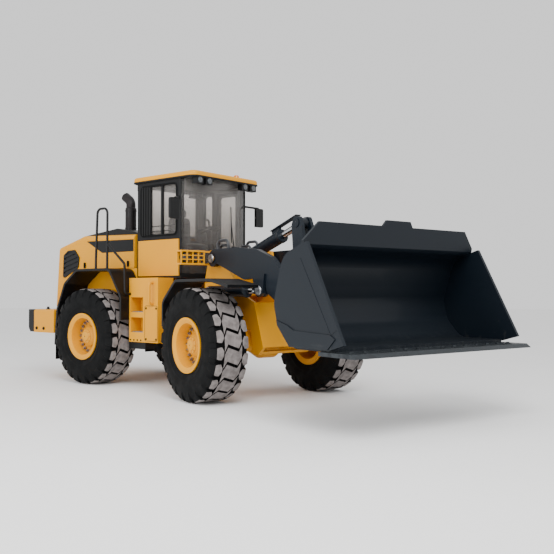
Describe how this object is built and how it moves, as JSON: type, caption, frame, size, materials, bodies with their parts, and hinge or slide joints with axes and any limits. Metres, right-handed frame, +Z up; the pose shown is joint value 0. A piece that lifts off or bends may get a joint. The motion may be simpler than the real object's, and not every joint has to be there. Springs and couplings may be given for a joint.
{
  "type": "wheel loader",
  "caption": "Articulated wheel loader with a lifting boom, tilting bucket, hinged frame, enclosed cab, rear engine hood and large lugged tyres, parked with the front turned aside.",
  "frame": {"origin": "on the floor, under the middle of the plan box of the parked machine", "axes": "+X from the counterweight to the bucket along the rear body, +Y to the left, +Z up"},
  "size_m": [9.0022, 4.0878, 3.483],
  "materials": {
    "yellow_paint": "gloss",
    "slate_paint": "satin",
    "worn_steel": "worn",
    "rod_chrome": "polished",
    "black_paint": "satin",
    "cast_housing": "matte",
    "exhaust_steel": "matte",
    "tyre_rubber": "matte",
    "flap_rubber": "matte",
    "smoked_glass": "clear",
    "seat_cloth": "matte",
    "cab_plastic": "matte",
    "lamp_lens": "gloss"
  },
  "bodies": {
    "rear_body": {"rear_frame": "yellow_paint", "rear_axle": "yellow_paint", "counterweight": "yellow_paint", "tow_hitch": "black_paint", "rear_bumpers": "black_paint", "engine_block": "cast_housing", "rear_fenders": "black_paint", "side_panels": "yellow_paint", "mud_flaps": "flap_rubber", "step_boxes": "yellow_paint", "lower_steps": "black_paint", "handrails": "black_paint", "cab_floor": "black_paint", "cab_right_wall": "black_paint", "cab_left_wall": "black_paint", "cab_rear_wall": "black_paint", "cab_panels": "yellow_paint", "cab_roof": "yellow_paint", "cab_glass": "smoked_glass", "seat": "seat_cloth", "controls": "cab_plastic", "roof_lamps": "lamp_lens", "mirrors": "black_paint"},
    "hood_body": {"hood": "yellow_paint", "hood_deck": "black_paint", "hood_vents": "black_paint", "rear_grille": "black_paint", "exhaust_stack": "exhaust_steel"},
    "door_body": {"cab_door": "black_paint", "door_glass": "smoked_glass"},
    "steer_barrel_left_body": {"steer_barrel_left": "black_paint"},
    "steer_barrel_right_body": {"steer_barrel_right": "black_paint"},
    "steer_rod_left_body": {"steer_rod_left": "rod_chrome"},
    "steer_rod_right_body": {"steer_rod_right": "rod_chrome"},
    "front_body": {"front_frame": "yellow_paint", "front_axle": "yellow_paint", "front_fenders": "black_paint", "lamp_guards": "yellow_paint", "head_lamps": "lamp_lens", "hoses": "flap_rubber"},
    "boom_body": {"boom": "slate_paint"},
    "bellcrank_body": {"bellcrank": "slate_paint"},
    "link_body": {"tilt_link": "slate_paint"},
    "bucket_body": {"bucket_shell": "slate_paint", "bucket_sides": "slate_paint", "cutting_edge": "worn_steel", "spill_guard": "slate_paint"},
    "lift_barrel_body": {"lift_barrels": "slate_paint"},
    "lift_rod_body": {"lift_rods": "rod_chrome"},
    "tilt_barrel_body": {"tilt_barrel": "slate_paint"},
    "tilt_rod_body": {"tilt_rod": "rod_chrome"},
    "front_left_wheel": {"front_left_tyre": "tyre_rubber", "front_left_rim": "yellow_paint"},
    "front_right_wheel": {"front_right_tyre": "tyre_rubber", "front_right_rim": "yellow_paint"},
    "rear_left_wheel": {"rear_left_tyre": "tyre_rubber", "rear_left_rim": "yellow_paint"},
    "rear_right_wheel": {"rear_right_tyre": "tyre_rubber", "rear_right_rim": "yellow_paint"}
  },
  "joints": [
    {"name": "steer", "type": "hinge", "parent": "rear_body", "child": "front_body", "pos_m": [-0.93106, 0.66636, 1.05], "axis": [0, 0, 1], "range_deg": [-25.6, 54.4]},
    {"name": "boom_lift", "type": "hinge", "parent": "front_body", "child": "boom_body", "pos_m": [0.11501, 0.39777, 2.06], "axis": [-0.2487, -0.9686, 0], "range_deg": [-20, 63.8]},
    {"name": "bucket_tilt", "type": "hinge", "parent": "boom_body", "child": "bucket_body", "pos_m": [2.65269, -0.2538, 1.08], "axis": [0.2487, 0.9686, 0], "range_deg": [-47, 109]},
    {"name": "bellcrank_swing", "type": "hinge", "parent": "boom_body", "child": "bellcrank_body", "pos_m": [1.61631, 0.0123, 1.9], "axis": [0.2487, 0.9686, 0], "range_deg": [-30, 14]},
    {"name": "link_swing", "type": "hinge", "parent": "bucket_body", "child": "link_body", "pos_m": [2.63332, -0.24882, 1.29], "axis": [0.2487, 0.9686, 0], "range_deg": [-90, 40]},
    {"name": "tilt_barrel_swing", "type": "hinge", "parent": "front_body", "child": "tilt_barrel_body", "pos_m": [0.16343, 0.38534, 2.075], "axis": [-0.2487, -0.9686, 0], "range_deg": [-22, 68]},
    {"name": "tilt_rod_slide", "type": "slide", "parent": "tilt_barrel_body", "child": "tilt_rod_body", "axis": [0.9248, -0.2375, 0.2971], "range_m": [-0.32, 0.15]},
    {"name": "lift_barrel_swing", "type": "hinge", "parent": "front_body", "child": "lift_barrel_body", "pos_m": [0.03752, 0.41767, 1.56], "axis": [-0.2487, -0.9686, 0], "range_deg": [-20, 58]},
    {"name": "lift_rod_slide", "type": "slide", "parent": "lift_barrel_body", "child": "lift_rod_body", "axis": [0.9686, -0.2487, 0.0067], "range_m": [-0.16, 0.48]},
    {"name": "steer_barrel_left_swing", "type": "hinge", "parent": "rear_body", "child": "steer_barrel_left_body", "pos_m": [-1.26106, 1.09636, 1], "axis": [0, 0, 1], "range_deg": [-22, 45]},
    {"name": "steer_rod_left_slide", "type": "slide", "parent": "steer_barrel_left_body", "child": "steer_rod_left_body", "axis": [0.998, -0.0627, 0], "range_m": [-0.45, 0.45]},
    {"name": "steer_barrel_right_swing", "type": "hinge", "parent": "rear_body", "child": "steer_barrel_right_body", "pos_m": [-1.26106, 0.23636, 1], "axis": [0, 0, 1], "range_deg": [-22, 45]},
    {"name": "steer_rod_right_slide", "type": "slide", "parent": "steer_barrel_right_body", "child": "steer_rod_right_body", "axis": [0.947, -0.3213, 0], "range_m": [-0.45, 0.45]},
    {"name": "door_swing", "type": "hinge", "parent": "rear_body", "child": "door_body", "pos_m": [-1.44806, 1.44836, 2.6], "axis": [0, 0, 1], "range_deg": [0, 165]},
    {"name": "hood_tilt", "type": "hinge", "parent": "rear_body", "child": "hood_body", "pos_m": [-4.26106, 0.66636, 1.29], "axis": [0, -1, 0], "range_deg": [0, 60]},
    {"name": "front_left_spin", "type": "hinge", "parent": "front_body", "child": "front_left_wheel", "pos_m": [0.93568, 1.30209, 0.805], "axis": [0.2487, 0.9686, 0], "continuous": true},
    {"name": "front_right_spin", "type": "hinge", "parent": "front_body", "child": "front_right_wheel", "pos_m": [0.39851, -0.79005, 0.805], "axis": [0.2487, 0.9686, 0], "continuous": true},
    {"name": "rear_left_spin", "type": "hinge", "parent": "rear_body", "child": "rear_left_wheel", "pos_m": [-2.58106, 1.74636, 0.805], "axis": [0, 1, 0], "continuous": true},
    {"name": "rear_right_spin", "type": "hinge", "parent": "rear_body", "child": "rear_right_wheel", "pos_m": [-2.58106, -0.41364, 0.805], "axis": [0, 1, 0], "continuous": true}
  ],
  "couplings": [
    {"joint": "bellcrank_swing", "follows": "bucket_tilt", "ratio": -0.258},
    {"joint": "link_swing", "follows": "bucket_tilt", "ratio": -0.795},
    {"joint": "tilt_barrel_swing", "follows": "boom_lift", "ratio": 1.029},
    {"joint": "tilt_rod_slide", "follows": "bucket_tilt", "m_per_rad": -0.158},
    {"joint": "lift_barrel_swing", "follows": "boom_lift", "ratio": 0.82},
    {"joint": "lift_rod_slide", "follows": "boom_lift", "m_per_rad": 0.4},
    {"joint": "steer_barrel_left_swing", "follows": "steer", "ratio": 0.803},
    {"joint": "steer_rod_left_slide", "follows": "steer", "m_per_rad": -0.449},
    {"joint": "steer_barrel_right_swing", "follows": "steer", "ratio": 0.803},
    {"joint": "steer_rod_right_slide", "follows": "steer", "m_per_rad": 0.449}
  ]
}
